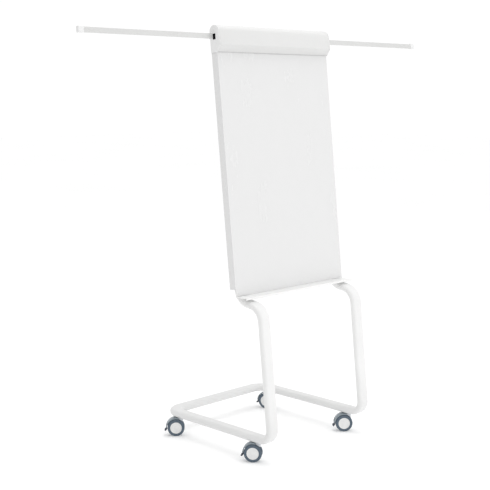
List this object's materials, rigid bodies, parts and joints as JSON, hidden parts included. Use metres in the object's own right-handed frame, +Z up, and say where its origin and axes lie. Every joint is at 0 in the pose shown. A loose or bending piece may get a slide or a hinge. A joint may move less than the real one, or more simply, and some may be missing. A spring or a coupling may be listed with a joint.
{
  "type": "mobile flipchart easel",
  "caption": "Mobile flipchart easel: tilted white board on a swan-neck tube frame with braked castors, a pen tray, a hinged pad clamp and sliding side arms.",
  "frame": {"origin": "on the floor, at the middle of the overall width and depth", "axes": "+X to the viewer's right along the board, +Y to the rear, +Z up"},
  "size_m": [2.088, 0.706, 1.8706],
  "materials": {
    "tyre_rubber": "soft matt",
    "hub_plastic": "satin",
    "hood_plastic": "satin",
    "pedal_plastic": "satin",
    "head_plastic": "satin",
    "zinc_steel": "zinc plated",
    "frame_paint": "fine powder coat",
    "board_enamel": "smooth enamel",
    "panel_paint": "fine powder coat",
    "header_paint": "fine powder coat",
    "cap_plastic": "satin",
    "arm_paint": "fine powder coat",
    "trim_plastic": "satin",
    "liner_plastic": "soft matt",
    "grip_rubber": "soft matt",
    "core_fibre": "raw fibreboard"
  },
  "bodies": {
    "frame": {"left_side_tube": "frame_paint", "right_side_tube": "frame_paint", "rear_bar": "frame_paint", "joint_sleeves": "frame_paint", "cross_members": "frame_paint", "column_plugs": "trim_plastic", "writing_panel": "board_enamel", "core_board": "core_fibre", "rear_cover": "panel_paint", "pen_tray": "panel_paint", "header_rail": "header_paint", "hinge_rod": "zinc_steel", "left_end_cap": "cap_plastic", "right_end_cap": "cap_plastic", "clamp_springs": "zinc_steel", "arm_liners": "liner_plastic", "panel_screws": "zinc_steel", "castor_sockets": "zinc_steel", "castor_stems": "zinc_steel"},
    "clamp": {"clamp_bar": "header_paint", "clamp_grip": "grip_rubber"},
    "left_hook": {"left_pad_hook": "trim_plastic"},
    "right_hook": {"right_pad_hook": "trim_plastic"},
    "left_arm": {"left_arm": "arm_paint", "left_arm_tip": "cap_plastic"},
    "right_arm": {"right_arm": "arm_paint", "right_arm_tip": "cap_plastic"},
    "front_left_castor": {"front_left_housing": "hood_plastic", "front_left_swivel_head": "head_plastic", "front_left_axle": "zinc_steel"},
    "front_left_near_wheel": {"front_left_near_tyre": "tyre_rubber", "front_left_near_hub": "hub_plastic"},
    "front_left_far_wheel": {"front_left_far_tyre": "tyre_rubber", "front_left_far_hub": "hub_plastic"},
    "front_left_pedal": {"front_left_brake_pedal": "pedal_plastic"},
    "front_right_castor": {"front_right_housing": "hood_plastic", "front_right_swivel_head": "head_plastic", "front_right_axle": "zinc_steel"},
    "front_right_near_wheel": {"front_right_near_tyre": "tyre_rubber", "front_right_near_hub": "hub_plastic"},
    "front_right_far_wheel": {"front_right_far_tyre": "tyre_rubber", "front_right_far_hub": "hub_plastic"},
    "front_right_pedal": {"front_right_brake_pedal": "pedal_plastic"},
    "rear_left_castor": {"rear_left_housing": "hood_plastic", "rear_left_swivel_head": "head_plastic", "rear_left_axle": "zinc_steel"},
    "rear_left_near_wheel": {"rear_left_near_tyre": "tyre_rubber", "rear_left_near_hub": "hub_plastic"},
    "rear_left_far_wheel": {"rear_left_far_tyre": "tyre_rubber", "rear_left_far_hub": "hub_plastic"},
    "rear_left_pedal": {"rear_left_brake_pedal": "pedal_plastic"},
    "rear_right_castor": {"rear_right_housing": "hood_plastic", "rear_right_swivel_head": "head_plastic", "rear_right_axle": "zinc_steel"},
    "rear_right_near_wheel": {"rear_right_near_tyre": "tyre_rubber", "rear_right_near_hub": "hub_plastic"},
    "rear_right_far_wheel": {"rear_right_far_tyre": "tyre_rubber", "rear_right_far_hub": "hub_plastic"},
    "rear_right_pedal": {"rear_right_brake_pedal": "pedal_plastic"}
  },
  "joints": [
    {"name": "clamp_hinge", "type": "hinge", "parent": "frame", "child": "clamp", "pos_m": [0, -0.03626, 1.84287], "axis": [-1, 0, 0], "range_deg": [0, 35], "stiffness_Nm_per_rad": 1, "springref_deg": -14.32},
    {"name": "left_arm_slide", "type": "slide", "parent": "frame", "child": "left_arm", "axis": [1, 0, 0], "range_m": [0, 0.658]},
    {"name": "right_arm_slide", "type": "slide", "parent": "frame", "child": "right_arm", "axis": [-1, 0, 0], "range_m": [0, 0.658]},
    {"name": "left_hook_slide", "type": "slide", "parent": "frame", "child": "left_hook", "axis": [1, 0, 0], "range_m": [-0.05, 0.05]},
    {"name": "right_hook_slide", "type": "slide", "parent": "frame", "child": "right_hook", "axis": [1, 0, 0], "range_m": [-0.05, 0.05]},
    {"name": "front_left_swivel", "type": "hinge", "parent": "frame", "child": "front_left_castor", "pos_m": [-0.305, -0.252, 0.0876], "axis": [0, 0, 1], "continuous": true},
    {"name": "front_left_near_roll", "type": "hinge", "parent": "front_left_castor", "child": "front_left_near_wheel", "pos_m": [-0.31704, -0.23603, 0.04], "axis": [0.7986, 0.6018, 0], "continuous": true},
    {"name": "front_left_far_roll", "type": "hinge", "parent": "front_left_castor", "child": "front_left_far_wheel", "pos_m": [-0.31704, -0.23603, 0.04], "axis": [0.7986, 0.6018, 0], "continuous": true},
    {"name": "front_left_brake", "type": "hinge", "parent": "front_left_castor", "child": "front_left_pedal", "pos_m": [-0.34356, -0.20083, 0.04619], "axis": [-0.7986, -0.6018, 0], "range_deg": [0, 14]},
    {"name": "front_right_swivel", "type": "hinge", "parent": "frame", "child": "front_right_castor", "pos_m": [0.305, -0.252, 0.0876], "axis": [0, 0, 1], "continuous": true},
    {"name": "front_right_near_roll", "type": "hinge", "parent": "front_right_castor", "child": "front_right_near_wheel", "pos_m": [0.29037, -0.23836, 0.04], "axis": [0.682, 0.7314, 0], "continuous": true},
    {"name": "front_right_far_roll", "type": "hinge", "parent": "front_right_castor", "child": "front_right_far_wheel", "pos_m": [0.29037, -0.23836, 0.04], "axis": [0.682, 0.7314, 0], "continuous": true},
    {"name": "front_right_brake", "type": "hinge", "parent": "front_right_castor", "child": "front_right_pedal", "pos_m": [0.25814, -0.20831, 0.04619], "axis": [-0.682, -0.7314, 0], "range_deg": [0, 14]},
    {"name": "rear_left_swivel", "type": "hinge", "parent": "frame", "child": "rear_left_castor", "pos_m": [-0.305, 0.256, 0.0876], "axis": [0, 0, 1], "continuous": true},
    {"name": "rear_left_near_roll", "type": "hinge", "parent": "rear_left_castor", "child": "rear_left_near_wheel", "pos_m": [-0.31986, 0.26938, 0.04], "axis": [0.6691, 0.7431, 0], "continuous": true},
    {"name": "rear_left_far_roll", "type": "hinge", "parent": "rear_left_castor", "child": "rear_left_far_wheel", "pos_m": [-0.31986, 0.26938, 0.04], "axis": [0.6691, 0.7431, 0], "continuous": true},
    {"name": "rear_left_brake", "type": "hinge", "parent": "rear_left_castor", "child": "rear_left_pedal", "pos_m": [-0.35261, 0.29887, 0.04619], "axis": [-0.6691, -0.7431, 0], "range_deg": [0, 14]},
    {"name": "rear_right_swivel", "type": "hinge", "parent": "frame", "child": "rear_right_castor", "pos_m": [0.305, 0.256, 0.0876], "axis": [0, 0, 1], "continuous": true},
    {"name": "rear_right_near_roll", "type": "hinge", "parent": "rear_right_castor", "child": "rear_right_near_wheel", "pos_m": [0.29718, 0.27441, 0.04], "axis": [0.9205, 0.3907, 0], "continuous": true},
    {"name": "rear_right_far_roll", "type": "hinge", "parent": "rear_right_castor", "child": "rear_right_far_wheel", "pos_m": [0.29718, 0.27441, 0.04], "axis": [0.9205, 0.3907, 0], "continuous": true},
    {"name": "rear_right_brake", "type": "hinge", "parent": "rear_right_castor", "child": "rear_right_pedal", "pos_m": [0.27997, 0.31497, 0.04619], "axis": [-0.9205, -0.3907, 0], "range_deg": [0, 14]}
  ]
}
